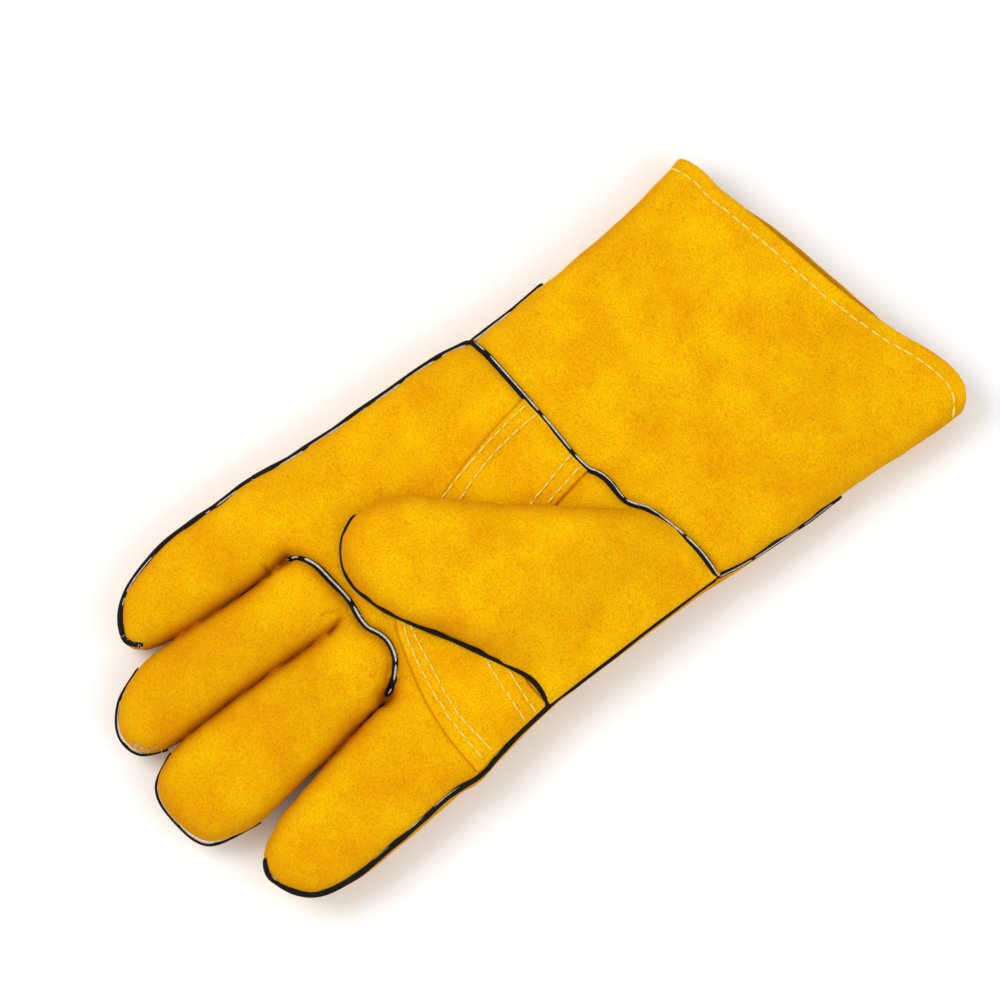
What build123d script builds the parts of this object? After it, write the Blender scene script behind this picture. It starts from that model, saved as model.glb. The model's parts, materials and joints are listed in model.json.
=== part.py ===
from build123d import *
import math
import os

# Heat resistant leather gauntlet, left hand, lying on its back with the thumb folded over the palm.
#
# Frame: +X towards the little finger, +Y towards the fingertips, +Z up out of the palm, origin at the
# bottom centre of the whole glove. The flat outlines are drawn in the pattern's own coordinates, whose
# zero is the middle of the wrist seam, and level() sets them into the part's frame.

os.makedirs("parts", exist_ok=True)

# ---- where the pattern's zero (middle of the wrist seam) stands in the part's frame ----
PATTERN_X = 1.72
PATTERN_Y = -42.07

# ---- material thicknesses ----
LEATHER = 1.6
LINING = 1.4
WELT = 2.4
WELT_PROUD = 0.9
SKIN = LEATHER + LINING
BEYOND = 900.0

# ---- heights of the filled shapes above the table ----
HAND_TOP = 30.0
FINGER_TOP = 26.0
CUFF_TOP = 33.0
THUMB_LOW = 32.2
THUMB_TOP = 56.0
EDGE_ROUND = 11.0
FINGER_ROUND = 7.6
THUMB_ROUND = 10.0

# ---- joints, in pattern coordinates ----
KNUCKLE_Y = 120.0
KNUCKLE_Z = 19.0
KNUCKLE_GAP = 0.6
FINGER_FOLD = 6.0
WRIST_SLOPE = math.degrees(math.atan2(17.0, 138.0))
WRIST_PALM_GAP = 10.5
WRIST_BACK_GAP = 6.0
HEM_SLOPE = math.degrees(math.atan2(31.0, 148.0))
HEM_Y = -120.6
THUMB_BASE_X = -62.0

# ---- reinforcement strap and its stitching ----
STRAP_THICK = 1.2
STITCH_LONG = 3.4
STITCH_WIDE = 0.9
STITCH_PITCH = 5.2
STITCH_PROUD = 0.5
STITCH_ROWS = (3.4, 9.0)
STITCH_SPAN = (0.02, 0.98)

# ---- hem ----
HEM_DEEP = 12.0

# ---- flat outlines: left edge, round the end, right edge ----
INDEX_OUTLINE = [
    (-72.4, 100), (-73.4, 128), (-76.0, 158), (-75.0, 184), (-67.0, 200.5), (-54.5, 206.4),
    (-43.5, 200.5), (-36.6, 184), (-31.8, 160), (-30.0, 138), (-29.6, 100),
]
MIDDLE_OUTLINE = [
    (-29.0, 100), (-29.2, 140), (-31.6, 170), (-33.2, 195), (-27.0, 215.5), (-11.0, 222.0),
    (4.0, 216.5), (11.2, 197), (11.2, 170), (9.8, 140), (9.4, 100),
]
RING_OUTLINE = [
    (10.0, 100), (10.6, 140), (12.6, 172), (13.8, 197), (18.6, 211.2), (29.6, 216.8), (40.6, 211.0),
    (45.6, 197), (45.0, 172), (42.8, 135), (42.4, 100),
]
LITTLE_OUTLINE = [
    (43.0, 100), (43.6, 132), (45.6, 156), (47.6, 174), (51.4, 185.0), (60.6, 191.6), (70.6, 187.4),
    (77.4, 173), (78.8, 150), (76.0, 122), (75.0, 100),
]
FINGERS = {
    "index": INDEX_OUTLINE,
    "middle": MIDDLE_OUTLINE,
    "ring": RING_OUTLINE,
    "little": LITTLE_OUTLINE,
}
HAND_LEFT = [(-74.5, -30), (-72.5, -9), (-71.5, 20), (-71.0, 50), (-71.4, 75), (-74.0, 100), (-76.0, 124)]
HAND_RIGHT = [(65.5, -30), (66.0, 6), (69.5, 24), (71.5, 50), (73.0, 76), (75.5, 98), (78.4, 124)]
CUFF_LEFT = [(-72.5, 30), (-73.0, -9), (-75.0, -40), (-76.5, -70), (-79.0, -95), (-81.2, -118), (-82.6, -150)]
CUFF_RIGHT = [(66.4, 30), (66.0, 6), (65.4, -20), (65.6, -50), (67.0, -75), (69.5, -94), (73.0, -120)]
THUMB_OUTLINE = [
    (-66.0, 65), (-50.0, 76), (-30.0, 86.5), (-2.0, 102), (16.0, 107), (31.0, 101.5), (38.4, 89),
    (36.6, 76), (28.0, 64), (8.0, 43), (-12.0, 22), (-27.0, 5), (-42.0, -3.0), (-66.0, -5.0),
]
STRAP_OUTER = [(-62.0, 113.4), (-42.0, 112.4), (-4.0, 102), (17.0, 78), (28.0, 44), (33.0, 6)]
STRAP_INNER = [(-7.0, 5), (-9.5, 26), (-21.0, 51), (-40.0, 69), (-62.0, 76)]
FINGER_BASE = (9.0, 112.0, 66.0)
HEM_ENDS = [(-70.0, -128.5), (62.0, -100.8)]
THUMB_HOLE = (-48.0, 34.0, 24.0, 54.0)


def level(height):
    """The pattern's plane at a height above the table."""
    return Plane(origin=(PATTERN_X, PATTERN_Y, height))


def across(y, slope=0.0):
    """A vertical plane over the pattern's width, facing the fingertips."""
    turn = math.radians(slope)
    return Plane(
        origin=(PATTERN_X, PATTERN_Y + y, 0),
        x_dir=(math.cos(turn), math.sin(turn), 0),
        z_dir=(-math.sin(turn), math.cos(turn), 0),
    )


def lines_first(edge):
    """Sorts an outline's straight end lines before its long curved edges."""
    return 0 if edge.geom_type == GeomType.LINE else 1


def drawn_in(points, inset):
    """A curve's points moved to its right by inset, which is inwards for every outline here."""
    moved = []
    for before, point, after in zip(points[:1] + points, points, points[1:] + points[-1:]):
        along = Vector(after[0] - before[0], after[1] - before[1]).normalized()
        moved.append((point[0] + along.Y * inset, point[1] - along.X * inset))
    return moved


def cushion(outline, low, high, edge_round, inset=0.0):
    """A filled stall: a flat outline between two heights with rounded long edges, drawn in by inset."""
    curves = [drawn_in(points, inset) for points in outline]
    with BuildPart() as filled:
        with BuildSketch(level(low + inset)):
            with BuildLine():
                for points in curves:
                    Spline(points)
                for points, following in zip(curves, curves[1:] + curves[:1]):
                    Line(points[-1], following[0])
            make_face()
        extrude(amount=high - low - 2 * inset)
        for face in (filled.faces().sort_by(Axis.Z)[-1], filled.faces().sort_by(Axis.Z)[0]):
            curved = sorted(face.edges(), key=lines_first)[len(curves):]
            fillet(curved, radius=edge_round - inset)
    return filled.part


class Stall:
    """The outer, middle and inner surfaces of one leather stall, as three filled solids."""

    def __init__(self, outline, low, high, edge_round):
        self.middle = (low + high) / 2
        self.outer = cushion(outline, low, high, edge_round)
        self.between = cushion(outline, low, high, edge_round, LEATHER)
        self.inner = cushion(outline, low, high, edge_round, SKIN)


def band(outer, inner, keep_above, keep_below):
    """A hollow shell between two filled solids, trimmed to what lies between two sets of planes."""
    with BuildPart() as shell:
        add(outer)
        add(inner, mode=Mode.SUBTRACT)
        for plane in keep_above:
            with BuildSketch(plane):
                Rectangle(BEYOND, BEYOND)
            extrude(amount=-BEYOND, mode=Mode.SUBTRACT)
        for plane in keep_below:
            with BuildSketch(plane):
                Rectangle(BEYOND, BEYOND)
            extrude(amount=BEYOND, mode=Mode.SUBTRACT)
    return shell.part


def save(part, label):
    """Labels one finished piece and writes its file."""
    part.label = label
    export_step(part, f"parts/{label}.step")


def stitches(rows, height):
    """Dashes of thread lying on a surface at a height, along rows of (path, inset to its left)."""
    with BuildPart() as thread:
        for path, inset in rows:
            count = int((STITCH_SPAN[1] - STITCH_SPAN[0]) * path.length / STITCH_PITCH)
            for step in range(count):
                at = STITCH_SPAN[0] + (STITCH_SPAN[1] - STITCH_SPAN[0]) * (step + 0.5) / count
                along = path.tangent_at(at)
                spot = path.position_at(at) + Vector(-along.Y, along.X, 0) * inset
                place = (PATTERN_X + spot.X, PATTERN_Y + spot.Y, height)
                with BuildSketch(Plane(origin=place, x_dir=along, z_dir=(0, 0, 1))):
                    Rectangle(STITCH_LONG, STITCH_WIDE)
                extrude(amount=STITCH_PROUD)
    return thread.part


# ======================= fingers =======================
for finger, outline in FINGERS.items():
    stall = Stall([outline], 0.0, FINGER_TOP, FINGER_ROUND)
    palm_start = across(KNUCKLE_Y + 1.0)
    back_start = across(KNUCKLE_Y + KNUCKLE_GAP)
    upper = Plane.XY.offset(stall.middle + WELT / 2)
    lower = Plane.XY.offset(stall.middle - WELT / 2)

    with BuildPart() as finger_front:
        add(band(stall.outer, stall.between, [palm_start, upper], []))
    save(finger_front.part, f"{finger}_finger_front")

    with BuildPart() as finger_back:
        add(band(stall.outer, stall.between, [back_start], [lower]))
    save(finger_back.part, f"{finger}_finger_back")

    with BuildPart() as finger_lining:
        add(band(stall.between, stall.inner, [palm_start], []))
    save(finger_lining.part, f"{finger}_finger_lining")

    with BuildPart() as finger_welt:
        add(band(stall.outer, stall.between, [palm_start, lower], [upper]))
    save(finger_welt.part, f"{finger}_finger_welt")

# ======================= hand =======================
hand = Stall([HAND_LEFT, HAND_RIGHT[::-1]], 0.0, HAND_TOP, EDGE_ROUND)
wrist = across(0.0, WRIST_SLOPE)
knuckles = across(KNUCKLE_Y)
hand_upper = Plane.XY.offset(hand.middle + WELT / 2)
hand_lower = Plane.XY.offset(hand.middle - WELT / 2)

with BuildPart() as thumb_hole:
    with BuildSketch(level(HAND_TOP - 2 * SKIN)):
        with Locations((THUMB_HOLE[0], THUMB_HOLE[1])):
            RectangleRounded(THUMB_HOLE[2], THUMB_HOLE[3], 8)
    extrude(amount=20)

with BuildPart() as thumb_panel_area:
    with BuildSketch(level(0)):
        with BuildLine():
            Polyline((-90, -30), (-90, 76), (-33, 76), (-33, -30), close=True)
        make_face()
    extrude(amount=HAND_TOP + 5)

# the palm side stops short of the fingers, which swing into that strip as they bend
with BuildPart() as finger_fold:
    with BuildSketch(level(KNUCKLE_Z - 0.5)):
        with Locations((0, KNUCKLE_Y)):
            Rectangle(200, 2 * FINGER_FOLD)
    extrude(amount=HAND_TOP)

with BuildPart() as palm_panel:
    add(band(hand.outer, hand.between, [wrist, hand_upper], [knuckles]))
    add(thumb_panel_area.part, mode=Mode.SUBTRACT)
    add(finger_fold.part, mode=Mode.SUBTRACT)
save(palm_panel.part, "palm_panel")

with BuildPart() as thumb_base_panel:
    add(band(hand.outer, hand.between, [wrist, hand_upper], [knuckles]))
    add(thumb_panel_area.part, mode=Mode.INTERSECT)
    add(thumb_hole.part, mode=Mode.SUBTRACT)
save(thumb_base_panel.part, "thumb_base_panel")

with BuildPart() as hand_back_panel:
    add(band(hand.outer, hand.between, [wrist], [knuckles, hand_lower]))
save(hand_back_panel.part, "hand_back_panel")

with BuildPart() as hand_lining:
    add(band(hand.between, hand.inner, [wrist], [knuckles]))
    add(thumb_hole.part, mode=Mode.SUBTRACT)
    add(finger_fold.part, mode=Mode.SUBTRACT)
save(hand_lining.part, "hand_lining")

with BuildPart() as index_side_welt:
    add(band(hand.outer, hand.between, [wrist, hand_lower], [knuckles, hand_upper, Plane.YZ]))
save(index_side_welt.part, "index_side_welt")

with BuildPart() as little_side_welt:
    add(band(hand.outer, hand.between, [wrist, hand_lower, Plane.YZ], [knuckles, hand_upper]))
save(little_side_welt.part, "little_side_welt")

with BuildPart() as reinforcement_strap:
    with BuildSketch(level(HAND_TOP)):
        with BuildLine():
            Spline(STRAP_OUTER)
            Spline(STRAP_INNER)
            Line(STRAP_OUTER[-1], STRAP_INNER[0])
            Line(STRAP_INNER[-1], STRAP_OUTER[0])
        make_face()
    extrude(amount=STRAP_THICK)
save(reinforcement_strap.part, "reinforcement_strap")

strap_rows = [(Spline(STRAP_OUTER), -inset) for inset in STITCH_ROWS]
strap_rows += [(Spline(STRAP_INNER), -inset) for inset in STITCH_ROWS]
with BuildPart() as strap_stitching:
    add(stitches(strap_rows, HAND_TOP + STRAP_THICK))
save(strap_stitching.part, "strap_stitching")

with BuildPart() as finger_base_welt:
    with BuildSketch(level(HAND_TOP)):
        with Locations((FINGER_BASE[0], FINGER_BASE[1])):
            SlotOverall(FINGER_BASE[2], WELT)
    extrude(amount=WELT_PROUD)
save(finger_base_welt.part, "finger_base_welt")

with BuildPart() as wrist_welt:
    add(band(hand.outer, hand.between, [across(-WELT, WRIST_SLOPE), hand_upper], [wrist]))
save(wrist_welt.part, "wrist_welt")

# ======================= cuff =======================
cuff = Stall([CUFF_LEFT[::-1], CUFF_RIGHT], 0.0, CUFF_TOP, EDGE_ROUND)
hem = across(HEM_Y, HEM_SLOPE)
hem_inside = across(HEM_Y + HEM_DEEP, HEM_SLOPE)
cuff_palm_end = across(-WRIST_PALM_GAP, WRIST_SLOPE)
cuff_back_end = across(-WRIST_BACK_GAP, WRIST_SLOPE)
cuff_upper = Plane.XY.offset(cuff.middle + WELT / 2)
cuff_lower = Plane.XY.offset(cuff.middle - WELT / 2)

with BuildPart() as cuff_palm_panel:
    add(band(cuff.outer, cuff.between, [hem, cuff_upper], [cuff_palm_end]))
save(cuff_palm_panel.part, "cuff_palm_panel")

with BuildPart() as cuff_back_panel:
    add(band(cuff.outer, cuff.between, [hem], [cuff_back_end, cuff_lower]))
save(cuff_back_panel.part, "cuff_back_panel")

with BuildPart() as cuff_lining:
    add(band(cuff.between, cuff.inner, [hem_inside], [cuff_palm_end]))
save(cuff_lining.part, "cuff_lining")

with BuildPart() as cuff_hem:
    add(band(cuff.between, cuff.inner, [hem], [hem_inside]))
save(cuff_hem.part, "cuff_hem")

with BuildPart() as cuff_index_welt:
    add(band(cuff.outer, cuff.between, [hem, cuff_lower], [cuff_palm_end, cuff_upper, Plane.YZ]))
save(cuff_index_welt.part, "cuff_index_welt")

with BuildPart() as cuff_little_welt:
    add(band(cuff.outer, cuff.between, [hem, cuff_lower, Plane.YZ], [cuff_palm_end, cuff_upper]))
save(cuff_little_welt.part, "cuff_little_welt")

with BuildPart() as hem_stitching:
    add(stitches([(Line(*HEM_ENDS), 0.0)], CUFF_TOP))
save(hem_stitching.part, "hem_stitching")

# ======================= thumb =======================
thumb = Stall([THUMB_OUTLINE], THUMB_LOW, THUMB_TOP, THUMB_ROUND)
thumb_upper = Plane.XY.offset(thumb.middle + WELT / 2)
thumb_lower = Plane.XY.offset(thumb.middle - WELT / 2)

with BuildPart() as thumb_way_in:
    with BuildSketch(level(THUMB_LOW - 1)):
        with Locations((THUMB_HOLE[0], THUMB_HOLE[1])):
            RectangleRounded(THUMB_HOLE[2], THUMB_HOLE[3], 8)
    extrude(amount=SKIN + 3)

thumb_base = Plane(origin=(PATTERN_X + THUMB_BASE_X, PATTERN_Y, 0), z_dir=(1, 0, 0))

with BuildPart() as thumb_outer_panel:
    add(band(thumb.outer, thumb.between, [thumb_base, thumb_upper], []))
save(thumb_outer_panel.part, "thumb_outer_panel")

with BuildPart() as thumb_inner_panel:
    add(band(thumb.outer, thumb.between, [thumb_base], [thumb_lower]))
    add(thumb_way_in.part, mode=Mode.SUBTRACT)
save(thumb_inner_panel.part, "thumb_inner_panel")

with BuildPart() as thumb_lining:
    add(band(thumb.between, thumb.inner, [thumb_base], []))
    add(thumb_way_in.part, mode=Mode.SUBTRACT)
save(thumb_lining.part, "thumb_lining")

with BuildPart() as thumb_welt:
    add(band(thumb.outer, thumb.between, [thumb_base, thumb_lower], [thumb_upper]))
save(thumb_welt.part, "thumb_welt")
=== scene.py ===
import json
import math

import bpy
import numpy as np
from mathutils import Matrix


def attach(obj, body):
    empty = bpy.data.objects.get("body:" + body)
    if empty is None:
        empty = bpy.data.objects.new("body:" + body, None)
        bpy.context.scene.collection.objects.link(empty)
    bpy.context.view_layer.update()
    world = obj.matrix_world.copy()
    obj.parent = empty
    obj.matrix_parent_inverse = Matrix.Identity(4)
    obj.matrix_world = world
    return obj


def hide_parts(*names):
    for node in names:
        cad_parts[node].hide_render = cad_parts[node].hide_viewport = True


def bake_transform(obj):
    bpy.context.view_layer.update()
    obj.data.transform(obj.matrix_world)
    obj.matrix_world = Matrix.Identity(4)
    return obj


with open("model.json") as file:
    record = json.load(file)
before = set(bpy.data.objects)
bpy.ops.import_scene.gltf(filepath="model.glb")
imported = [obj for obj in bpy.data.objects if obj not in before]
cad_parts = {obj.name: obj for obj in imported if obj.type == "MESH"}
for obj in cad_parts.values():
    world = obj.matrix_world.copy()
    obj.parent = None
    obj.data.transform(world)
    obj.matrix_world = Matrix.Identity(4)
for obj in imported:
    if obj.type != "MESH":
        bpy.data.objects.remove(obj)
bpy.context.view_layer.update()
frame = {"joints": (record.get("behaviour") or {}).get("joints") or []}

import openvdb
from mathutils import Matrix, Vector

# Looks of a heat resistant suede gauntlet: left hand, palm up, thumb folded over the palm.
#
# Shapes are worked out in the pattern's own millimetres. Their zero is the wrist joint, with +X towards
# the little finger, +Y towards the fingertips and +Z up out of the palm. place() sets them in the frame.
#
# The hand, fingers and cuff are one solid field, below zero inside the leather, and so is the thumb. Each is
# meshed once and its faces are shared out between the panels, so that panels meet without a step.

# ---------------------------------------------------------------- frame and driving sizes
MM = 0.001
JOINTS = {joint["name"]: joint for joint in frame["joints"]}
WRIST = np.array(JOINTS["wrist_bend"]["pos_m"]) * (1, 1, 0)
WRIST_SLOPE = 17.0 / 138.0
KNUCKLE_Y = (JOINTS["middle_finger_bend"]["pos_m"][1] - WRIST[1]) / MM
FINGER_SPLIT_Y = KNUCKLE_Y - 6.0

# The grid that the fields are worked out on.
VOXEL = 0.8
GRID_LOW = np.array([-92.0, -150.0, -4.0])
GRID_HIGH = np.array([92.0, 234.0, 62.0])

# Level of each part's middle, its height above and depth below that, and how far in its edge is rounded.
FINGER_MIDDLE, FINGER_RISE, FINGER_DROP, FINGER_ROUNDING = 13.0, 13.5, 12.6, 17.0
PALM_MIDDLE, PALM_RISE, PALM_DROP, PALM_ROUNDING = 14.0, 13.5, 13.6, 15.0
THUMB_MIDDLE, THUMB_DROP, THUMB_ROUNDING = 31.5, 3.2, 15.0
CUFF_RISE = 12.5
LOWEST_LEATHER = 0.35
LOWEST_WING = 17.0
HOLLOW_END_Y = 96.0
HEM_TURN_IN = 14
WALL = 3.0
FORCHETTE_INSET = 0.4
STRAP_THICK = 1.3
WELT_RADIUS = 1.25

# Outlines, each point (x, y) on the pattern.

INDEX = [(-56, 62), (-67, 82), (-72.6, 104), (-75, 128), (-76.2, 160), (-75.4, 182), (-69.5, 199),
         (-55, 206.6), (-45, 203.5), (-38.5, 192), (-33.8, 175), (-30, 152), (-27.4, 130), (-27, 100),
         (-36, 70)]
MIDDLE = [(-25, 92), (-27, 130), (-29.6, 152), (-32.4, 178), (-33, 200), (-26.5, 217.5),
          (-10, 222.4), (4, 219.5), (11, 206), (12, 188), (11.2, 165), (9.6, 140), (8.4, 120), (8, 92)]
RING = [(8.6, 92), (8.8, 120), (10, 140), (11.6, 165), (12.4, 190), (13.2, 206), (19, 216.6),
        (30, 218.4), (40, 210), (46, 196), (46.4, 182), (44.6, 160), (42.8, 138), (42.2, 92)]
LITTLE = [(52, 82), (44, 104), (43, 130), (44.4, 155), (46.6, 176), (50.6, 189), (58, 194), (68, 189),
          (75.4, 178), (79.2, 162), (79.4, 144), (77, 122), (72.4, 100), (64, 82)]
FINGERS = {"index": INDEX, "middle": MIDDLE, "ring": RING, "little": LITTLE}

# The palm and cuff together, and the hem that cuts the cuff off. HEM_GAP is how much further up the pattern
# the palm side's hem lies than the back's, as (x, gap).
BODY = [(-84.5, -175), (-82.6, -142), (-81.4, -115), (-79.4, -95), (-77.4, -70), (-76.2, -40),
        (-75.2, -20), (-73.4, -8), (-72, 20), (-71.4, 50), (-71.2, 75), (-72.8, 100), (-74.8, 120),
        (-60, 129), (-27, 124), (8, 122), (42, 124), (64, 130), (76.6, 121), (74.8, 98), (73, 76),
        (71.6, 50), (69.6, 24), (66.6, 6), (65.6, -20), (65.8, -50), (67.2, -75), (69.8, -95),
        (73.6, -115), (80, -142), (60, -180), (-60, -195)]
HEM = [(-95, -112), (-86, -122), (-81.4, -131), (-75, -136.2), (-66, -137.2), (-54, -134.4), (-40, -129),
       (-20, -123.5), (0, -119.2), (20, -116), (40, -112.4), (50, -110), (60, -109.2), (70, -106.6),
       (80, -100)]
HEM_GAP = [(-50, 0), (-40, 1.6), (-28, 4.2), (-10, 5.6), (10, 5.8), (28, 5.0), (42, 3.2), (56, 1.2),
           (66, 0.4)]

# Seams and creases of the palm side.
WRIST_SEAM = [(-72.5, -9), (-66, -9.6), (-58, -9.6), (-48, -8), (-40, -6.4), (-33, -4.4), (-29, -1.6),
              (-24, 0.8), (-14, 1), (-9, 2.4), (-5, 4.4), (4, 5.4), (20, 5.4), (40, 6.2), (58, 7.2),
              (66, 8.6)]
FINGER_SEAM = [(-25.5, 125), (-24, 121), (-20.5, 116.4), (-16, 112.6), (-10, 110.9), (-5, 111.5),
               (0, 113.6), (5, 113.8), (14, 112.6), (24, 113.4), (32, 114.2), (37, 116), (40.4, 118.4),
               (42, 121.4)]
THUMB_SEAM = [(-70, 78), (-67.4, 76), (-62, 75.2), (-56, 76), (-48, 79.4), (-36, 85), (-20, 93.4),
              (-4, 102), (6, 105.8), (16, 107.8), (25, 106), (33, 100.4), (37.4, 93), (38, 89)]
LEFT_WELT = [(-73.6, -30), (-72, -9), (-70.8, 20), (-70.2, 50), (-69.8, 76), (-71.6, 100), (-73.4, 114)]
CREASES = [[(42.4, 131), (46, 130.4)], [(41.4, 126), (43.4, 121)], [(-25, 125), (-18, 117)],
           [(8, 127), (9.6, 121), (10, 116)], [(12, 118), (15, 124)], [(-22, 119), (-27, 114)]]

# The thumb as it lies folded over the palm, and the wing of leather on the index side that it grows from.
THUMB = [(-96, -11), (-96, 30), (-96, 77), (-80, 77), (-62, 75.2), (-48, 79.4), (-36, 85), (-20, 93.4),
         (-4, 102), (16, 107.8), (30, 103), (37.6, 92), (37.4, 80), (31, 67.6), (20, 56.5), (8, 43.5),
         (-4, 31), (-17, 16.5), (-27, 4.5), (-34, -3), (-46, -7.4), (-60, -9.6), (-80, -11)]
WING = [(-96, -11), (-80, -11), (-60, -9.6), (-42, -6.6), (-30, 10), (-34, 45), (-48, 79.4),
        (-62, 75.2), (-80, 76), (-96, 76)]

# The two edges of the reinforcement strap, and its rows of stitching.
STRAP_OUTER = [(-74.4, 115.8), (-56, 116.4), (-38, 114.4), (-20, 109.6), (-4, 103), (10, 88), (20, 66),
               (26.4, 46), (31, 24), (33.4, 6)]
STRAP_INNER = [(-71, 76.5), (-56, 77), (-42, 72), (-26, 58), (-14, 40), (-9.4, 26), (-7.4, 14), (-6, 4.6)]
STITCH_ROWS = [
    [(-70, 110.4), (-50, 111), (-30, 108), (-10, 102.5), (6, 89), (16, 71), (22, 58), (28, 30), (30.5, 7)],
    [(-70, 105.6), (-50, 107), (-30, 104), (-10, 99.4), (1, 89), (11, 71), (17, 53), (23, 30), (25, 6)],
    [(-69, 87.8), (-50, 86), (-37, 83.4), (-20, 71), (-7, 50), (-2.4, 33), (0.2, 20), (3.4, 6)],
    [(-69, 82.2), (-50, 80.4), (-38, 76), (-24, 62), (-13, 43), (-7, 28), (-5, 18), (-3, 7)],
]


def place(points):
    """Pattern millimetres to frame metres."""
    return np.asarray(points) * MM + WRIST


def curve(points, closed=False, step=1.0):
    """Points about step apart along a smooth curve through the given ones."""
    p = np.array(points, float)
    if closed:
        padded = np.vstack([p[-1:], p, p[:2]])
    else:
        padded = np.vstack([2 * p[0] - p[1], p, 2 * p[-1] - p[-2]])
    found = []
    for a, b, c, d in zip(padded, padded[1:], padded[2:], padded[3:]):
        count = max(2, int(np.linalg.norm(c - b) / step))
        t = np.linspace(0, 1, count, endpoint=False)[:, None]
        found.append(0.5 * (2 * b + (c - a) * t + (2 * a - 5 * b + 4 * c - d) * t**2
                            + (3 * b - a - 3 * c + d) * t**3))
    if not closed:
        found.append(p[-1:])
    return np.vstack(found)


def smooth(t):
    """0 below 0, 1 above 1, and an even turn between."""
    t = np.clip(t, 0, 1)
    return t * t * (3 - 2 * t)


def soft_min(a, b, reach):
    """The lower of two fields, blended where they differ by less than reach."""
    h = np.clip(0.5 + 0.5 * (b - a) / reach, 0, 1)
    return b + (a - b) * h - reach * h * (1 - h)


def soft_max(a, b, reach):
    """The higher of two fields, blended where they differ by less than reach."""
    return -soft_min(-a, -b, reach)


def line_y(points, x, step):
    """How far up the pattern a line across it lies, at each x."""
    line = curve(points, step=step)
    return np.interp(x, line[:, 0], line[:, 1])


def left_welt_x(y):
    """Where the welt along the palm's index side lies, at each y."""
    return np.interp(y, *np.array(LEFT_WELT).T[::-1])


# ---------------------------------------------------------------- flat fields over the pattern
axis_x = np.arange(GRID_LOW[0], GRID_HIGH[0], VOXEL)
axis_y = np.arange(GRID_LOW[1], GRID_HIGH[1], VOXEL)
axis_z = np.arange(GRID_LOW[2], GRID_HIGH[2], VOXEL, dtype=np.float32)
X, Y = np.meshgrid(axis_x, axis_y, indexing="ij")
Z = axis_z[None, None, :]


def line_distance(line):
    """Distance of every grid point from a line of points."""
    best = np.full(X.shape, 1e9)
    for a, b in zip(line, line[1:]):
        along = b - a
        t = np.clip(((X - a[0]) * along[0] + (Y - a[1]) * along[1]) / (along @ along + 1e-9), 0, 1)
        best = np.minimum(best, (X - a[0] - t * along[0]) ** 2 + (Y - a[1] - t * along[1]) ** 2)
    return np.sqrt(best)


def inside_distance(points, step=3.0):
    """Distance inside a closed outline, below zero outside it."""
    ring = curve(points, closed=True, step=step)
    ring = np.vstack([ring, ring[:1]])
    inside = np.zeros(X.shape, bool)
    for a, b in zip(ring, ring[1:]):
        if a[1] != b[1]:
            crosses = (Y > min(a[1], b[1])) & (Y <= max(a[1], b[1]))
            inside ^= crosses & (X < a[0] + (Y - a[1]) * (b[0] - a[0]) / (b[1] - a[1]))
    distance = line_distance(ring)
    return np.where(inside, distance, -distance)


def clouds(seed, size, turn=0.0, stretch=1.0):
    """Smooth random heights from -1 to 1 over the pattern, in lumps of a size in millimetres."""
    c, s = math.cos(math.radians(turn)), math.sin(math.radians(turn))
    u = (X * c + Y * s) / (size * stretch) + 64
    v = (Y * c - X * s) / size + 64
    lattice = np.random.default_rng(seed).uniform(-1, 1, (256, 256))
    i, j = np.floor(u).astype(int), np.floor(v).astype(int)
    a, b = u - i, v - j
    a, b = a * a * (3 - 2 * a), b * b * (3 - 2 * b)
    i, j = i % 255, j % 255
    low = lattice[i, j] * (1 - a) + lattice[i + 1, j] * a
    high = lattice[i, j + 1] * (1 - a) + lattice[i + 1, j + 1] * a
    return low * (1 - b) + high * b


def groove(line, depth, width):
    """A rounded groove along a line, to add to a field."""
    return depth * np.exp(-(line_distance(curve(line, step=4.0)) / width) ** 2)


def stuffed(distance, width, middle, rise, drop, over=2.4, under=2.8):
    """A stuffed leather shape as a field below zero inside: rounded over width from its outline."""
    u = np.clip(1 - distance / width, 0, None)[:, :, None]
    height = Z - np.broadcast_to(middle, X.shape)[:, :, None]
    up = np.clip(height / np.broadcast_to(rise, X.shape)[:, :, None], 0, None)
    down = np.clip(-height / np.broadcast_to(drop, X.shape)[:, :, None], 0, None)
    above = (u**over + up**over) ** (1 / over)
    below = (u**under + down**under) ** (1 / under)
    scale = min(width, float(np.mean(rise)))
    return ((np.where(height > 0, above, below) - 1) * scale).astype(np.float32)


# ---------------------------------------------------------------- the hand, fingers and cuff as one field
finger_inside = {name: inside_distance(outline) for name, outline in FINGERS.items()}
finger_field = {}
for seed, (name, inside) in enumerate(finger_inside.items()):
    rise = FINGER_RISE + 0.8 * clouds(20 + seed, 28) + (1.2 if name == "middle" else 0.0)
    finger_field[name] = stuffed(inside, FINGER_ROUNDING, FINGER_MIDDLE, rise, FINGER_DROP)
fingers = finger_field["index"]
for name in ("middle", "ring", "little"):
    fingers = soft_min(fingers, finger_field[name], 0.8)

body_inside = inside_distance(BODY)
towards_cuff = smooth((2 + X * WRIST_SLOPE - Y) / 14)
palm_rise = PALM_RISE + 0.9 * clouds(3, 45) + 0.5 * clouds(4, 18)
cuff_rise = CUFF_RISE + 1.0 * clouds(5, 60) + 0.5 * clouds(6, 24) - 1.5 * smooth((-Y - 60) / 60)
body_rise = palm_rise + (cuff_rise - palm_rise) * towards_cuff
palm_and_cuff = stuffed(body_inside, PALM_ROUNDING, PALM_MIDDLE, body_rise, PALM_DROP)
body = soft_min(palm_and_cuff, fingers, 4.0)

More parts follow.
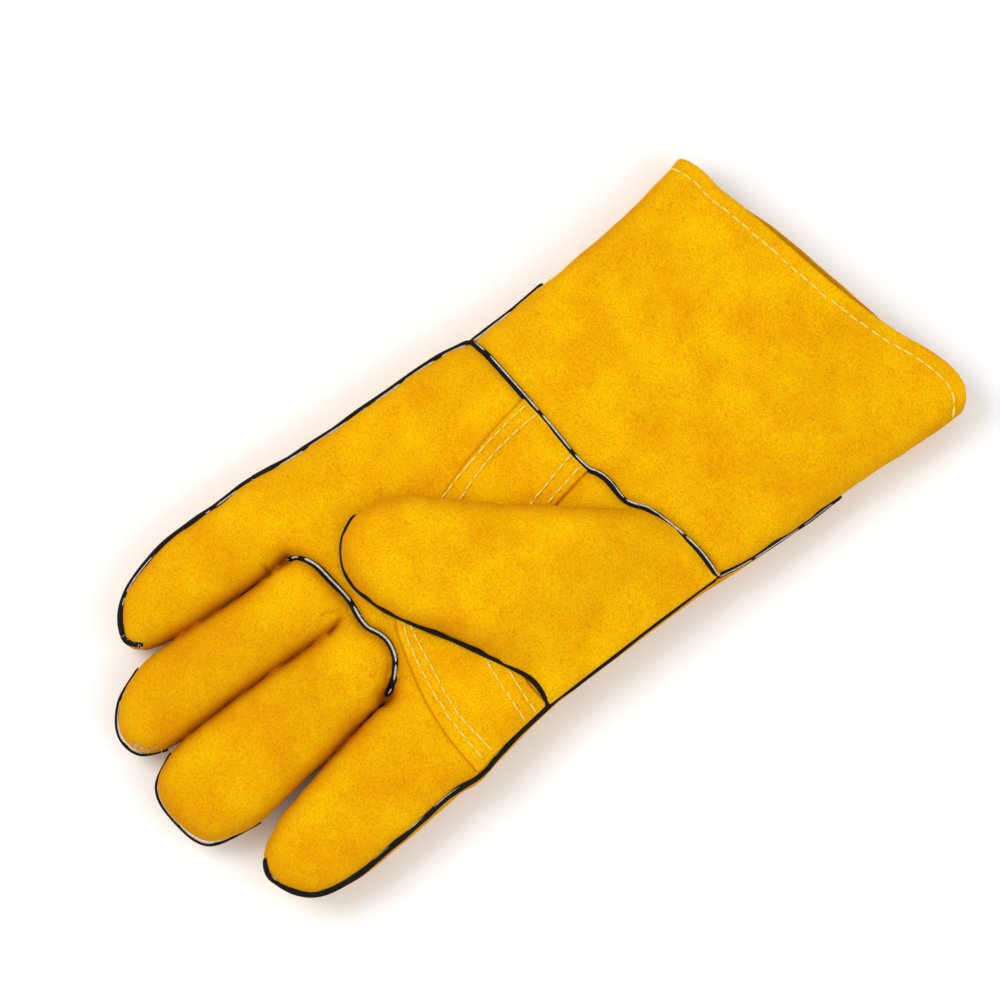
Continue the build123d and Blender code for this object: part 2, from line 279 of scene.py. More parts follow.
upper_side = smooth((Z - 12.0) / 6.0)
top_change = (
    groove(WRIST_SEAM, 2.4, 3.2) * smooth(body_inside / 9.0)
    + groove(FINGER_SEAM, 3.4, 2.8)
    + sum(groove(line, 1.3, 0.9) for line in CREASES)
    - 1.6 * np.exp(-((Y - 124) / 8) ** 2) * smooth((X + 24) / 4) * smooth((43 - X) / 4)
    + 0.35 * clouds(7, 9.0) + 0.22 * clouds(8, 4.5)
    + 0.45 * np.clip(clouds(11, 7, 28, 4.0), 0, 1) * smooth((50 - np.abs(Y - 10)) / 40)
)
low_change = 0.4 * clouds(9, 30) + 0.25 * clouds(10, 10)
unevenness = top_change[:, :, None] * upper_side + low_change[:, :, None] * (1 - upper_side)
unevenness = unevenness.astype(np.float32)
body = soft_max(body + unevenness, LOWEST_LEATHER - Z, 1.2)

hem_y = line_y(HEM, X, 3.0)
hem_gap = np.interp(X, *zip(*HEM_GAP))
hem_front_or_back = hem_y[:, :, None] - hem_gap[:, :, None] * (1 - smooth((Z - 9.0) / 8.0))
past_hem = ((hem_front_or_back - Y[:, :, None]) * 0.97).astype(np.float32)
cavity = soft_max(body + WALL, (Y - HOLLOW_END_Y)[:, :, None].astype(np.float32), 4.0)
glove = soft_max(soft_max(body, past_hem, 1.4), -cavity, 1.0)


def top_of(field):
    """Height of the highest surface over every grid point, or the lowest level where there is none."""
    inside = field < 0
    top = inside.shape[2] - 1 - np.argmax(inside[:, :, ::-1], axis=2)
    top = np.clip(top, 0, inside.shape[2] - 2)
    i, j = np.indices(top.shape)
    low, high = field[i, j, top], field[i, j, top + 1]
    part = np.clip(low / (low - high + 1e-9), 0, 1)
    return np.where(inside.any(axis=2), axis_z[0] + (top + part) * VOXEL, axis_z[0])


def sample(flat, points):
    """A flat field's values at points, by bilinear mixing."""
    p = (np.asarray(points)[:, :2] - GRID_LOW[:2]) / VOXEL
    p = np.clip(p, 0, np.array(flat.shape) - 1.001)
    i = p.astype(int)
    f = p - i
    a, b = flat[i[:, 0], i[:, 1]], flat[i[:, 0] + 1, i[:, 1]]
    c, d = flat[i[:, 0], i[:, 1] + 1], flat[i[:, 0] + 1, i[:, 1] + 1]
    low = a * (1 - f[:, 0]) + b * f[:, 0]
    high = c * (1 - f[:, 0]) + d * f[:, 0]
    return low * (1 - f[:, 1]) + high * f[:, 1]


def sample_solid(field, points):
    """A solid field's values at points, by mixing between grid levels."""
    level = np.clip((points[:, 2] - GRID_LOW[2]) / VOXEL, 0, field.shape[2] - 1.001)
    k = level.astype(int)
    part = level - k
    p = np.clip((points[:, :2] - GRID_LOW[:2]) / VOXEL, 0, np.array(field.shape[:2]) - 1.001)
    i = p.astype(int)
    f = p - i
    mixed = 0.0
    for dx, wx in ((0, 1 - f[:, 0]), (1, f[:, 0])):
        for dy, wy in ((0, 1 - f[:, 1]), (1, f[:, 1])):
            for dz, wz in ((0, 1 - part), (1, part)):
                mixed += wx * wy * wz * field[i[:, 0] + dx, i[:, 1] + dy, k + dz]
    return mixed


palm_top = top_of(body)

# ---------------------------------------------------------------- the thumb, as its own field
thumb_inside = inside_distance(THUMB)
from_left = smooth((X + 72) / 46)
from_wrist = smooth((Y + 10) / 30)
thumb_rise = (4.0 + 10.5 * from_left) * (0.45 + 0.55 * from_wrist) + 0.8 * clouds(31, 30)
thumb_middle = 22.0 + 9.5 * from_left
wrinkles = 0.8 * clouds(32, 8, 35, 3.5) * smooth((30 - X) / 50) + 0.25 * clouds(33, 5)
stall = stuffed(thumb_inside, THUMB_ROUNDING, thumb_middle, thumb_rise, THUMB_DROP, 2.3, 2.0)
side = np.clip(1 - body_inside / 34.0, 0, None)[:, :, None]
flank = (side**1.4 + (np.clip(Z - 15.0, 0, None) / 34.0) ** 1.4) ** (1 / 1.4)
stall = soft_max(stall, ((flank - 1) * 20).astype(np.float32), 3.0)
wing_edge = np.maximum(-inside_distance(WING)[:, :, None], LOWEST_WING - Z)
wing = np.maximum(np.maximum(body - 0.8, -(body + 2.2)), wing_edge)
thumb = soft_min(stall, wing.astype(np.float32), 6.0)
thumb += (wrinkles[:, :, None] * upper_side).astype(np.float32)
beyond_welt = (left_welt_x(Y) - X)[:, :, None]
thumb_edge = np.maximum(-thumb_inside[:, :, None] - 0.3, LOWEST_WING - Z)
thumb = np.maximum(thumb, np.maximum(thumb_edge, beyond_welt)).astype(np.float32)
whole_top = np.maximum(palm_top, top_of(thumb))


# ---------------------------------------------------------------- meshes
def face_normals(points, faces):
    """The normal of each quad, as long as twice its area."""
    p = points[faces]
    return np.cross(p[:, 2] - p[:, 0], p[:, 3] - p[:, 1])


def surface(field):
    """A closed mesh of quads where a field is zero, facing out: its points, in millimetres, and faces."""
    grid = openvdb.FloatGrid(background=3.0)
    grid.copyFromArray(np.ascontiguousarray(field, dtype=np.float32))
    points, faces = grid.convertToQuads(isovalue=0.0)
    points = points.astype(float) * VOXEL + GRID_LOW
    faces = faces.astype(int)
    volume = (face_normals(points, faces)[:, 2] * points[faces].mean(1)[:, 2]).sum()
    if volume < 0:
        faces = faces[:, ::-1]
    return points, faces


def point_normals(points, faces):
    """The normal at each point, from the quads around it."""
    total = np.zeros_like(points)
    across = face_normals(points, faces)
    for corner in range(4):
        np.add.at(total, faces[:, corner], across)
    return total / (np.linalg.norm(total, axis=1, keepdims=True) + 1e-12)


def new_piece(name, points, faces, material, normals=None, shade=None):
    """A mesh object from pattern points, with smooth shading and, if given, normals and a painted shade
    value (with some mottling) for each point.
    """
    mesh = bpy.data.meshes.new(name)
    mesh.from_pydata(place(points).tolist(), [], [tuple(map(int, face)) for face in faces])
    mesh.polygons.foreach_set("use_smooth", [True] * len(mesh.polygons))
    if shade is not None:
        # The shade value is painted shade, stored on the points for the suede material.
        shade_and_mottling = mesh.attributes.new("shade_and_mottling", "FLOAT", "POINT")
        shade_and_mottling.data.foreach_set("value", shade.astype(np.float32))
    mesh.materials.append(material)
    mesh.update()
    if normals is not None:
        mesh.normals_split_custom_set_from_vertices(normals.tolist())
    piece = bpy.data.objects.new(name, mesh)
    bpy.context.scene.collection.objects.link(piece)
    return piece


def part_of(points, faces, chosen, normals, shade):
    """The chosen faces alone, with their own points."""
    used, index = np.unique(faces[chosen], return_inverse=True)
    return points[used], index.reshape(-1, 4), normals[used], shade[used]


# ---------------------------------------------------------------- materials
def new_material(name):
    """A material with its nodes, its links and its main shader."""
    made = bpy.data.materials.new(name)
    made.use_nodes = True
    nodes, links = made.node_tree.nodes, made.node_tree.links
    return made, nodes, links, nodes["Principled BSDF"]


def noise(nodes, links, coordinates, scale, detail, roughness=0.5):
    """Even noise from 0 to 1, scale lumps to the metre."""
    node = nodes.new("ShaderNodeTexNoise")
    node.inputs["Scale"].default_value = scale
    node.inputs["Detail"].default_value = detail
    node.inputs["Roughness"].default_value = roughness
    links.new(coordinates, node.inputs["Vector"])
    return node.outputs["Fac"]


def ramp(nodes, links, value, stops):
    """A colour for each value, from stops of (value, colour)."""
    node = nodes.new("ShaderNodeValToRGB")
    elements = node.color_ramp.elements
    while len(elements) < len(stops):
        elements.new(0.5)
    for element, (at, colour) in zip(elements, stops):
        element.position = at
        element.color = (*colour, 1)
    links.new(value, node.inputs["Fac"])
    return node.outputs["Color"]


def mix(nodes, links, factor, a, b, mode="MIX"):
    """Two colours mixed, each of them and the factor either a constant or a socket."""
    node = nodes.new("ShaderNodeMix")
    node.data_type = "RGBA"
    node.blend_type = mode
    for socket, value in ((node.inputs[0], factor), (node.inputs[6], a), (node.inputs[7], b)):
        if isinstance(value, (tuple, float, int)):
            socket.default_value = value
        else:
            links.new(value, socket)
    return node.outputs[2]


def bump(nodes, links, height, strength, distance, below=None):
    """A fine relief in the material, on top of another if one is given."""
    node = nodes.new("ShaderNodeBump")
    node.inputs["Strength"].default_value = strength
    node.inputs["Distance"].default_value = distance
    links.new(height, node.inputs["Height"])
    if below is not None:
        links.new(below, node.inputs["Normal"])
    return node.outputs["Normal"]


def suede(name, warm=1.0):
    """Golden split leather: blotches, a short nap with darker pits, and painted shade (with some mottling)
    from a point attribute.
    """
    made, nodes, links, shader = new_material(name)
    where = nodes.new("ShaderNodeTexCoord").outputs["Object"]
    blotches = ramp(nodes, links, noise(nodes, links, where, 42.0, 4.0, 0.6), [
        (0.32, (0.84 * warm, 0.375 * warm, 0.0006)),
        (0.5, (0.90 * warm, 0.465 * warm, 0.0007)),
        (0.68, (0.95 * warm, 0.54 * warm, 0.0008))])
    grain = ramp(nodes, links, noise(nodes, links, where, 1250.0, 3.0, 0.65), [
        (0.32, (0.66, 0.48, 0.2)),
        (0.48, (0.91, 0.86, 0.7)),
        (0.60, (1.0, 1.0, 1.0)),
        (0.72, (1.05, 1.10, 1.2))])
    colour = mix(nodes, links, 0.75, blotches, grain, "MULTIPLY")
    # Painted shade: a point attribute, holding painted shade and some random mottling, mixes the colour
    # towards a deep orange.
    shade_and_mottling = nodes.new("ShaderNodeAttribute")
    shade_and_mottling.attribute_name = "shade_and_mottling"
    colour = mix(nodes, links, shade_and_mottling.outputs["Fac"], colour, (0.50, 0.135, 0.001, 1))
    links.new(colour, shader.inputs["Base Color"])
    shader.inputs["Roughness"].default_value = 0.92
    shader.inputs["Specular IOR Level"].default_value = 0.04
    shader.inputs["Sheen Weight"].default_value = 0.12
    shader.inputs["Sheen Roughness"].default_value = 0.45
    shader.inputs["Sheen Tint"].default_value = (1.0, 0.60, 0.02, 1)
    nap = bump(nodes, links, noise(nodes, links, where, 1100.0, 5.0, 0.8), 0.7, 0.0008)
    lumps = bump(nodes, links, noise(nodes, links, where, 160.0, 3.0, 0.55), 0.30, 0.0012, nap)
    links.new(lumps, shader.inputs["Normal"])
    return made


def plain(name, colour, variation, scale, roughness, bump_scale, bump_depth, sheen=0.0, specular=0.3):
    """One colour, darker in places by a variation, with a fine relief."""
    made, nodes, links, shader = new_material(name)
    where = nodes.new("ShaderNodeTexCoord").outputs["Object"]
    dark = tuple(c * (1 - variation) for c in colour)
    spread = noise(nodes, links, where, scale, 4.0, 0.6)
    tone = ramp(nodes, links, spread, [(0.35, dark), (0.65, colour)])
    links.new(tone, shader.inputs["Base Color"])
    shader.inputs["Roughness"].default_value = roughness
    shader.inputs["Sheen Weight"].default_value = sheen
    shader.inputs["Specular IOR Level"].default_value = specular
    relief = bump(nodes, links, noise(nodes, links, where, bump_scale, 3.0), 0.6, bump_depth)
    links.new(relief, shader.inputs["Normal"])
    return made


SUEDE = suede("golden_suede")
STRAP_SUEDE = suede("strap_suede", 1.02)
WELT = plain("black_welting", (0.008, 0.007, 0.006), 0.5, 500.0, 0.75, 900.0, 0.0003, 0.0, 0.12)
THREAD = plain("off_white_thread", (0.90, 0.70, 0.12), 0.2, 900.0, 0.8, 2200.0, 0.0002, 0.0, 0.1)
CORE = plain("grey_white_core_line", (0.62, 0.60, 0.56), 0.45, 700.0, 0.7, 1500.0, 0.0002)
LINING = plain("brushed_cotton", (0.66, 0.52, 0.30), 0.2, 300.0, 0.95, 1300.0, 0.0005, 0.3)

# ---------------------------------------------------------------- hand, finger and cuff panels
points, faces = surface(glove)
normals = point_normals(points, faces)
centre = points[faces].mean(1)

# Painted shade, with some random mottling in the tone: how much darker the leather is between the fingers,
# along seams, near edges, on the fingers and inside the mouth.
whole_inside = np.maximum.reduce([body_inside, *finger_inside.values()])
gap = np.minimum.reduce([np.abs(finger_inside[a] - finger_inside[b]) for a, b in
                         (("index", "middle"), ("middle", "ring"), ("ring", "little"))])
# Painted shade between the fingers, where they lie close together.
between = np.exp(-(gap / 4.0) ** 2) * smooth((Y - 116) / 10)
shade_and_mottling_flat = np.clip(0.55 * between
                      + 0.5 * groove(FINGER_SEAM, 1.0, 5.0)
                      + 0.25 * groove(WRIST_SEAM, 1.0, 3.0)
                      + 0.12 * np.clip(clouds(41, 30), 0, 1)
                      + 0.12 * smooth((Y - 120) / 20)
                      + 0.3 * np.exp(-(np.clip(whole_inside, 0, 99) / 4.0) ** 2), 0, 0.85)


def shade_and_mottling_at(at):
    """The painted shade and mottling at points, fading out towards the back of the hand."""
    return sample(shade_and_mottling_flat, at) * smooth((at[:, 2] - 4) / 10)


# Painted shade on the inner faces near the cuff's mouth.
inside_mouth = smooth(-WALL / 2 - sample_solid(body, points))
shade = np.maximum(shade_and_mottling_at(points), 0.5 * inside_mouth)

# Which panel each face belongs to.
seam_y = line_y(FINGER_SEAM, centre[:, 0], 2.0)
wrist_y = line_y(WRIST_SEAM, centre[:, 0], 2.0)
hinge_y = centre[:, 0] * WRIST_SLOPE
owner = np.stack([sample(finger_inside[name], centre) for name in FINGERS]).argmax(0)
inner = sample_solid(body, centre) < -WALL / 2
front = centre[:, 2] > FINGER_MIDDLE
in_middle_pair = (owner == 1) | (owner == 2)
highest_start = np.minimum(seam_y, FINGER_SPLIT_Y + 12)
finger_start = np.where(front & in_middle_pair, highest_start, FINGER_SPLIT_Y)
on_finger = (centre[:, 1] > finger_start) & ~inner
on_cuff = centre[:, 1] < np.where(front, wrist_y, hinge_y)
on_hand = ~on_finger & ~on_cuff
turned_in = on_cuff & inner & (centre[:, 1] < line_y(HEM, centre[:, 0], 3.0) + HEM_TURN_IN)


def wrist_blend(piece):
    """The piece's placement is baked into its mesh."""
    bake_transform(piece)


def finger_blend(piece):
    """The piece's placement is baked into its mesh."""
    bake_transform(piece)


def thumb_blend(piece):
    """The piece's placement is baked into its mesh."""
    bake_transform(piece)


def ride_on(body_name):
    """A mount that lets a piece ride on one body."""
    return lambda piece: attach(piece, body_name)


def bend_with():
    """A mount that bakes a piece's placement into its mesh."""
    return lambda piece: finger_blend(piece)


def finish_piece(piece, nodes, mount):
    """Hides the CAD nodes that a piece replaces and applies its mount."""
    if nodes:
        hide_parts(*nodes)
    mount(piece)


def panel(name, chosen, node, mount, material=SUEDE):
    """The chosen faces of the glove as one piece."""
    p, f, n, s = part_of(points, faces, chosen, normals, shade)
    finish_piece(new_piece(name, p, f, material, n, s), [node], mount)


panel("palm_leather", on_hand & front & ~inner, "palm_panel", ride_on("hand"))
panel("back_of_hand_leather", on_hand & ~front & ~inner, "hand_back_panel", ride_on("hand"))
panel("hand_lining_cloth", on_hand & inner, "hand_lining", ride_on("hand"), LINING)
panel("cuff_palm_leather", on_cuff & front & ~inner, "cuff_palm_panel", wrist_blend)
panel("cuff_hem_leather", turned_in, "cuff_hem", wrist_blend)
panel("cuff_back_leather", on_cuff & ~front & ~inner, "cuff_back_panel", wrist_blend)
panel("cuff_lining_cloth", on_cuff & inner & ~turned_in, "cuff_lining", wrist_blend, LINING)
for number, finger in enumerate(FINGERS):
    mine = on_finger & (owner == number)
    panel(f"{finger}_front_leather", mine & front, f"{finger}_finger_front", bend_with())
    panel(f"{finger}_back_leather", mine & ~front, f"{finger}_finger_back", bend_with())

# ---------------------------------------------------------------- thumb
thumb_points, thumb_faces = surface(thumb)
thumb_normals = point_normals(thumb_points, thumb_faces)
# Painted shade near the thumb's outline, fading out towards the index side, plus some random mottling in the
# tone.
edge_shade = np.exp(-(np.clip(sample(thumb_inside, thumb_points), 0, 99) / 5.0) ** 2)
mottling = np.clip(sample(clouds(42, 26), thumb_points), 0, 1)
thumb_shade = 0.35 * edge_shade * smooth((thumb_points[:, 0] + 60) / 20) + 0.1 * mottling
thumb_centre = thumb_points[thumb_faces].mean(1)
outer_side = (thumb_centre[:, 2] > sample(thumb_middle, thumb_centre)) | (thumb_centre[:, 0] < -58)
for name, chosen, nodes in (
    ("thumb_outer_leather", outer_side, ["thumb_outer_panel", "thumb_base_panel"]),
    ("thumb_inner_leather", ~outer_side, ["thumb_inner_panel", "thumb_lining"]),
):
    p, f, n, s = part_of(thumb_points, thumb_faces, chosen, thumb_normals, thumb_shade)
    finish_piece(new_piece(name, p, f, SUEDE, n, s), nodes, thumb_blend)


# ---------------------------------------------------------------- reinforcement strap
def even(line, count):
    """A line's points spaced evenly, count of them."""
    step = np.r_[0, np.cumsum(np.linalg.norm(np.diff(line, axis=0), axis=1))]
    at = np.linspace(0, step[-1], count)
    return np.column_stack([np.interp(at, step, line[:, i]) for i in range(line.shape[1])])


outer_edge = even(curve(STRAP_OUTER), 220)
inner_edge = even(curve(STRAP_INNER), 220)
share = np.r_[0.0, 0.0, np.linspace(0.004, 0.996, 46), 1.0, 1.0]
lift = np.r_[-0.6, 0.4, np.full(46, STRAP_THICK), 0.4, -0.6]
lift[2] = lift[-3] = STRAP_THICK * 0.85
strap_flat = inner_edge[None] * (1 - share[:, None, None]) + outer_edge[None] * share[:, None, None]
rows, columns = strap_flat.shape[:2]
flat_points = strap_flat.reshape(-1, 2)
flat_points[:, 0] = np.maximum(flat_points[:, 0], left_welt_x(flat_points[:, 1]) + 0.7)
strap_z = sample(palm_top, flat_points) + np.repeat(lift, columns)
strap_points = np.column_stack([flat_points, strap_z])
i, j = np.meshgrid(np.arange(rows - 1), np.arange(columns - 1), indexing="ij")
a = (i * columns + j).ravel()
strap_faces = np.column_stack([a, a + 1, a + columns + 1, a + columns])
if face_normals(strap_points, strap_faces)[:, 2].sum() < 0:
    strap_faces = strap_faces[:, ::-1]
# Painted shade: a thin dark line along both edges of the strap.
from_edge = np.repeat(np.minimum(share, 1 - share), columns)
strap_shade = 0.04 + 0.75 * np.exp(-(from_edge / 0.01) ** 2)
strap = new_piece("strap_leather", strap_points, strap_faces, STRAP_SUEDE, None, strap_shade)
finish_piece(strap, ["reinforcement_strap"], ride_on("hand"))


# ---------------------------------------------------------------- welts, threads and stitches
def tube(path, radius, sides=10, flatten=1.0):
    """Points and faces of a closed tube along a path of 3-D points, with a radius at each."""
    path = np.asarray(path, float)
    radius = np.broadcast_to(radius, len(path))
    along = np.gradient(path, axis=0)
    along /= np.linalg.norm(along, axis=1, keepdims=True) + 1e-9
    side = np.cross(along, (0, 0, 1.0))
    side /= np.linalg.norm(side, axis=1, keepdims=True) + 1e-9
    up = np.cross(side, along)
    turn = np.linspace(0, 2 * math.pi, sides, endpoint=False)
    sideways = side[:, None] * np.cos(turn)[None, :, None]
    upwards = flatten * up[:, None] * np.sin(turn)[None, :, None]
    ring = path[:, None] + radius[:, None, None] * (sideways + upwards)
    made = np.vstack([ring.reshape(-1, 3), path[:1], path[-1:]])
    quads = []
    for r in range(len(path) - 1):
        for s in range(sides):
            t = (s + 1) % sides
            quads.append((r * sides + s, (r + 1) * sides + s, (r + 1) * sides + t, r * sides + t))
    first, last = len(path) * sides, len(path) * sides + 1
    end = (len(path) - 1) * sides
    caps = [(first, (s + 1) % sides, s) for s in range(sides)]
    caps += [(last, end + s, end + (s + 1) % sides) for s in range(sides)]
    return made, quads + caps


def joined(parts):
    """Several (points, faces) meshes as one."""
    made, faces_all, base = [], [], 0
    for p, f in parts:
        made.append(p)
        faces_all += [tuple(v + base for v in face) for face in f]
        base += len(p)
    return np.vstack(made), faces_all


def on_top(flat, height=0.0):
    """Flat points laid on the palm side, a height above it."""
    return np.column_stack([flat, sample(palm_top, flat) + height])


def to_nearer_end(count):
    """How many points each of a row is from its nearer end."""
    return np.minimum(np.arange(count), np.arange(count)[::-1])


def welt_mesh(path, radius, seed):
    """A welt's tube, a little uneven and tapered at its ends, and the even path that it follows."""
    random = np.random.default_rng(seed)
    path = even(path, max(8, int(np.linalg.norm(np.diff(path, axis=0), axis=1).sum() / 1.2)))
    knots = np.arange(0, len(path) + 6, 6)
    wobble = np.interp(np.arange(len(path)), knots, random.uniform(0.85, 1.2, len(knots)))
    taper = smooth(to_nearer_end(len(path)) / 3.0 + 0.5)
    return tube(path, radius * wobble * taper, 10, 0.9), path


def core_line(path, offset, radius, seed):
    """The pale thread line that runs along a welt, broken here and there."""
    random = np.random.default_rng(seed)
    side = np.cross(np.gradient(path, axis=0), (0, 0, 1.0))
    side /= np.linalg.norm(side, axis=1, keepdims=True) + 1e-9
    line = path + side * offset[0] + np.array([0, 0, 1.0]) * offset[1]
    parts = []
    at = 1
    while at < len(line) - 3:
        run = int(random.integers(9, 30))
        stop = min(at + run, len(line) - 1)
        if stop - at > 3:
            taper = smooth(to_nearer_end(stop - at) / 2 + 0.4)
            parts.append(tube(line[at:stop], radius * taper, 6))
        at = stop + int(random.integers(0, 2))
    return joined(parts)


def welt(name, path, node, mount, radius=WELT_RADIUS, offset=(0.55, 0.85), core=0.42, seed=1):
    """A black welt along a path, with its core line where the line's radius isn't zero."""
    (p, f), even_path = welt_mesh(path, radius, seed)
    finish_piece(new_piece(name, p, f, WELT), [node], mount)
    if core:
        line = core_line(even_path, offset, core, seed + 100)
        finish_piece(new_piece(name + "_line", *line, CORE), [], mount)


def evened(values, reach):
    """A row of values smoothed over reach neighbours either way."""
    window = np.hanning(2 * reach + 3)[1:-1]
    return np.convolve(np.pad(values, reach, mode="edge"), window / window.sum(), mode="valid")


def crest(flat, height, reach=6):
    """A line laid over whatever is uppermost, evened so that it never jumps."""
    z = evened(sample(whole_top, flat), reach)
    return np.column_stack([flat, np.maximum(z, 14.0) + height])


def seated(flat, start_z, end_z, inward, lift=0.3):
    """A line around a side, moved in or out until it lies on the leather at its own height."""
    along = np.gradient(flat, axis=0)
    along /= np.linalg.norm(along, axis=1, keepdims=True) + 1e-9
    side = np.column_stack([along[:, 1], -along[:, 0]]) * inward
    z = start_z + (end_z - start_z) * smooth(np.linspace(0, 1, len(flat)))
    reach = np.linspace(-5, 7, 61)
    tried = np.array([sample_solid(body, np.column_stack([flat + side * r, z])) for r in reach])
    shift = reach[np.argmax(tried < 0, axis=0)]
    return np.column_stack([flat + side * (evened(shift, 14) - lift)[:, None], z + 0.5 * lift])


def low_edge(flat, height):
    """A level line around an outline."""
    return np.column_stack([flat, np.full(len(flat), height)])


welt("wrist_welting", crest(curve(WRIST_SEAM), 0.5), "wrist_welt", ride_on("hand"), seed=11)
welt("finger_base_welting", crest(curve(FINGER_SEAM), 1.0), "finger_base_welt", ride_on("hand"),
     offset=(0.3, 0.95), core=0.5, seed=12)

thumb_welt_flat = curve(THUMB_SEAM)
on_thumb = smooth((thumb_welt_flat[:, 0] + 58) / 34)
thumb_welt_path = crest(thumb_welt_flat, 0.4, 4)
thumb_welt_path[:, 2] += (THUMB_MIDDLE - thumb_welt_path[:, 2]) * on_thumb
welt("thumb_welting", thumb_welt_path, "thumb_welt", thumb_blend, 0.95, core=0, seed=13)

# The side seams. A finger's line starts with the palm's last point, which is then dropped, so that the two
# run on from each other.
left_side = curve(LEFT_WELT[1:])
left_index = curve([(-71.6, 100), (-73.4, FINGER_SPLIT_Y), (-74.6, 128), (-75.8, 160), (-75, 181),
                    (-69.4, 197.6), (-55, 205.6), (-46.4, 202.8)])[12:]
left_cuff = curve([(-72, -9), (-73.4, -24), (-74.6, -45), (-75.6, -60), (-76.6, -70)])
right_side = curve([(65.8, 8.6), (68.4, 24), (70.4, 50), (72.2, 76), (74, 98), (76, FINGER_SPLIT_Y)])
right_little = curve([(74, 98), (76, FINGER_SPLIT_Y), (78, 130), (79, 146), (78.8, 162), (75, 178),
                      (67.8, 188.8), (58, 193.4), (51.4, 189)])[12:]
right_cuff = curve([(65.8, 8.6), (65.2, 0), (65, -14), (66, -30)])
welt("index_side_welting", seated(left_side, 21, 22, 1), "index_side_welt", ride_on("hand"), 1.35,
     core=0.2, seed=14)
welt("index_welting", seated(left_index, 22, 19, 1), "index_finger_welt", bend_with(), 1.35,
     core=0.2, seed=15)
welt("cuff_index_welting", seated(left_cuff, 21, 15, -1), "cuff_index_welt", wrist_blend, 1.1,
     core=0.2, seed=16)
welt("little_side_welting", seated(right_side, 20, 19, -1), "little_side_welt", ride_on("hand"), 1.2,
     (-0.5, 0.7), seed=17)
welt("little_welting", seated(right_little, 19, 20, -1), "little_finger_welt", bend_with(), 1.25,
     (-0.3, 0.85), 0.3, 18)
welt("cuff_little_welting", seated(right_cuff, 20, 15, 1), "cuff_little_welt", wrist_blend, 0.9, seed=19)

TIP_WELT_Z = 11.5
middle_tip = curve([(-33.4, 196), (-27.4, 218), (-10, 223.2), (4, 220.2), (11.4, 207)])
ring_tip = curve([(13, 207), (19, 217.4), (30, 219.2), (40.6, 210.6), (46.6, 196)])
for finger, tip, seed in (("middle", middle_tip, 20), ("ring", ring_tip, 21)):
    welt(f"{finger}_welting", low_edge(tip, TIP_WELT_Z), f"{finger}_finger_welt", bend_with(), 0.7,
         core=0.2, seed=seed)


def stitches(flat, pitch, length, width, height, seed):
    """Short threads along a flat line, each a rounded grain that dips into the leather at its ends."""
    random = np.random.default_rng(seed)
    total = np.linalg.norm(np.diff(flat, axis=0), axis=1).sum()
    count = int(total / pitch)
    spots = even(flat, count * 8 + 1)
    parts = []
    for n in range(count):
        start = n * 8 + 1
        kept = max(4, int(8 * length / pitch * random.uniform(0.9, 1.1)))
        keep = spots[start:start + kept]
        path = on_top(even(keep, 7), height)
        path[:, :2] += random.normal(0, 0.12, 2)
        arch = np.sin(np.linspace(0, math.pi, 7))
        path[:, 2] += 0.35 * arch
        parts.append(tube(path, width * (0.55 + 0.45 * arch) * random.uniform(0.9, 1.1), 6))
    return joined(parts)


strap_threads = joined([stitches(curve(row), 4.7, 4.8, 0.46, STRAP_THICK + 0.1, 50 + number)
                        for number, row in enumerate(STITCH_ROWS)])
finish_piece(new_piece("strap_threads", *strap_threads, THREAD), ["strap_stitching"],
             ride_on("hand"))

hem_row = curve([(x, y + 6.2) for x, y in HEM[2:-1]])
hem_threads = stitches(hem_row, 5.2, 5.2, 0.5, 0.1, 60)
finish_piece(new_piece("hem_threads", *hem_threads, THREAD), ["hem_stitching"], wrist_blend)


def frays(line, count, spread, length, seed):
    """Loose ends of thread standing out of a seam, scattered along a line."""
    random = np.random.default_rng(seed)
    spots = even(curve(line), 50)
    parts = []
    for _ in range(count):
        start = spots[random.integers(50)] + random.normal(0, spread, 2)
        height = sample(whole_top, start[None])[0]
        lean = random.normal(0, 1, 2)
        lean /= np.linalg.norm(lean)
        t = np.linspace(0, 1, 7)
        bend = random.normal(0, 0.8, 2)
        flat = start + length * random.uniform(0.5, 1.0) * (t[:, None] * lean + t[:, None] ** 2 * bend)
        parts.append(tube(np.column_stack([flat, height + 0.5 * np.sin(t * 2.4) + 0.1]), 0.1, 5))
    return joined(parts)


FRAYS = (
    ("finger_base_frays", [(2, 112.4), (14, 112.8)], 9, 1.6, ride_on("hand")),
    ("seam_end_frays", [(41.4, 119), (42.8, 123)], 8, 1.8, ride_on("hand")),
    ("ring_tip_frays", [(14.6, 208), (18, 214), (24, 217)], 22, 1.2, bend_with()),
    ("little_tip_frays", [(52.5, 188.5), (59, 192)], 12, 1.2, bend_with()),
)
for seed, (name, line, count, length, mount) in enumerate(FRAYS, start=71):
    loose_ends = frays(line, count, 0.5, length, seed)
    finish_piece(new_piece(name, *loose_ends, CORE), [], mount)

# ---------------------------------------------------------------- side walls between the fingers
for finger in FINGERS:
    above_floor = LOWEST_LEATHER + FORCHETTE_INSET - Z
    past_split = (FINGER_SPLIT_Y - Y)[:, :, None].astype(np.float32)
    own = soft_max(finger_field[finger] + unevenness + FORCHETTE_INSET, above_floor, 1.2)
    own = soft_max(own, past_split, 1.0)
    p, f = surface(own)
    # The side walls take the same painted shade as the panels around them.
    piece = new_piece(f"{finger}_forchettes", p, f, SUEDE, point_normals(p, f), shade_and_mottling_at(p))
    finish_piece(piece, [f"{finger}_finger_lining"], bend_with())

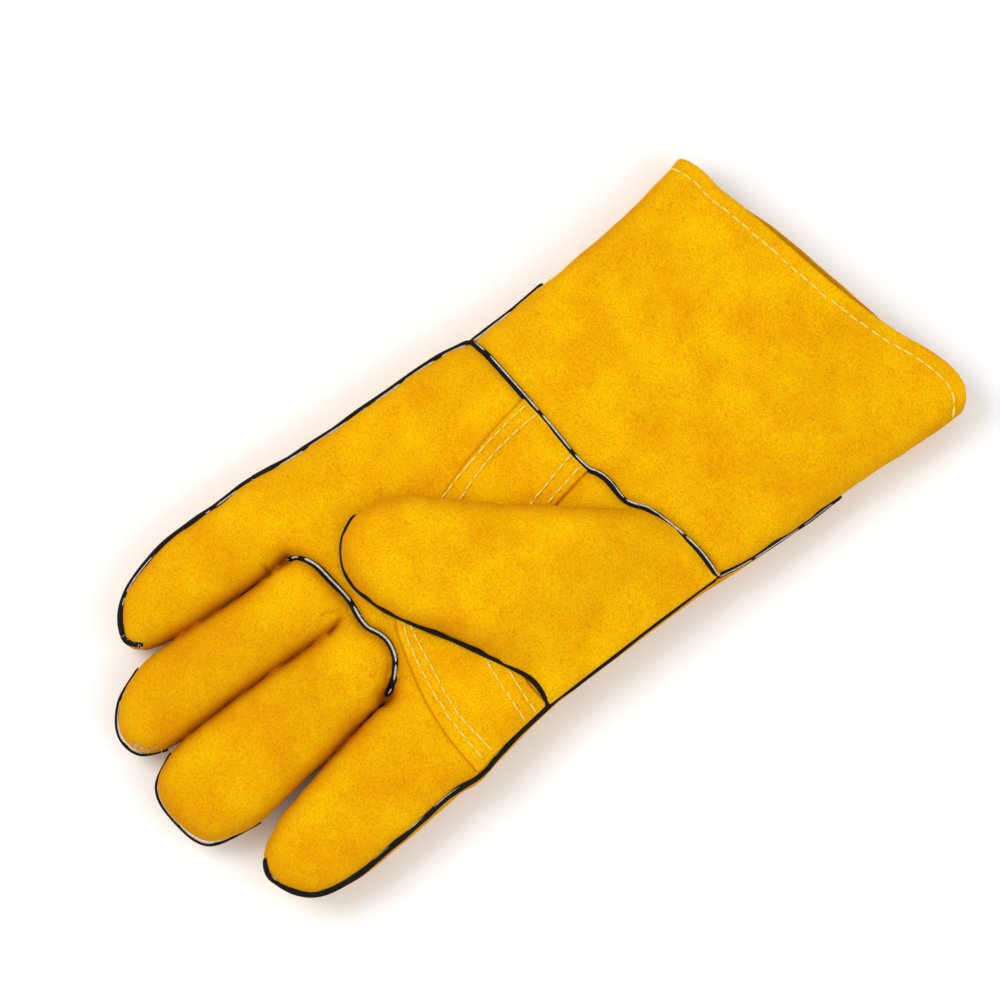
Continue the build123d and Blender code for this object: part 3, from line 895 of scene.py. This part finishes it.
# ---------------------------------------------------------------- floor, light and camera
bpy.ops.mesh.primitive_plane_add(size=6.0, location=(0, 0, 0))
floor = bpy.context.object
floor.name = "floor"
paper, _, _, paper_shader = new_material("pale_paper")
paper_shader.inputs["Base Color"].default_value = (0.9, 0.9, 0.9, 1)
paper_shader.inputs["Roughness"].default_value = 0.9
floor.data.materials.append(paper)

world = bpy.data.worlds.new("soft_studio")
bpy.context.scene.world = world
world.use_nodes = True
world.node_tree.nodes["Background"].inputs["Color"].default_value = (1, 1, 1, 1)
world.node_tree.nodes["Background"].inputs["Strength"].default_value = 0.75


def area_light(name, location, size, power):
    """A soft square light that faces the middle of the glove."""
    light = bpy.data.lights.new(name, "AREA")
    light.size = size
    light.energy = power
    lamp = bpy.data.objects.new(name, light)
    lamp.location = location
    lamp.rotation_euler = (-Vector(location)).to_track_quat("-Z", "Y").to_euler()
    bpy.context.scene.collection.objects.link(lamp)


area_light("key", (0.9, 0.5, 1.5), 0.9, 15)
area_light("fill", (-1.1, -0.4, 1.3), 1.2, 7)

# The camera looks almost straight down. VIEW_SPAN is the width that its picture shows, in metres.
VIEW_SPAN = 0.4061
VIEW_CENTRE = Vector(place((8.0, 39.1, 14.0)))
VIEW_RIGHT = Vector((-0.626, -0.780, 0.0))
VIEW_UP = Vector((0.780, -0.626, 0.0))
VIEW_TILT = math.radians(6.0)
VIEW_DISTANCE = 1.8
SENSOR_WIDTH = 36.0
backwards = Vector((0, 0, 1)) * math.cos(VIEW_TILT) - VIEW_UP * math.sin(VIEW_TILT)
camera_data = bpy.data.cameras.new("camera")
camera_data.sensor_width = SENSOR_WIDTH
camera_data.lens = SENSOR_WIDTH * VIEW_DISTANCE / VIEW_SPAN
camera = bpy.data.objects.new("camera", camera_data)
bpy.context.scene.collection.objects.link(camera)
up = backwards.cross(VIEW_RIGHT)
turned = Matrix((VIEW_RIGHT, up, backwards)).transposed().to_4x4()
camera.matrix_world = Matrix.Translation(VIEW_CENTRE + backwards * VIEW_DISTANCE) @ turned
bpy.context.scene.camera = camera
bpy.context.scene.view_settings.view_transform = "Standard"
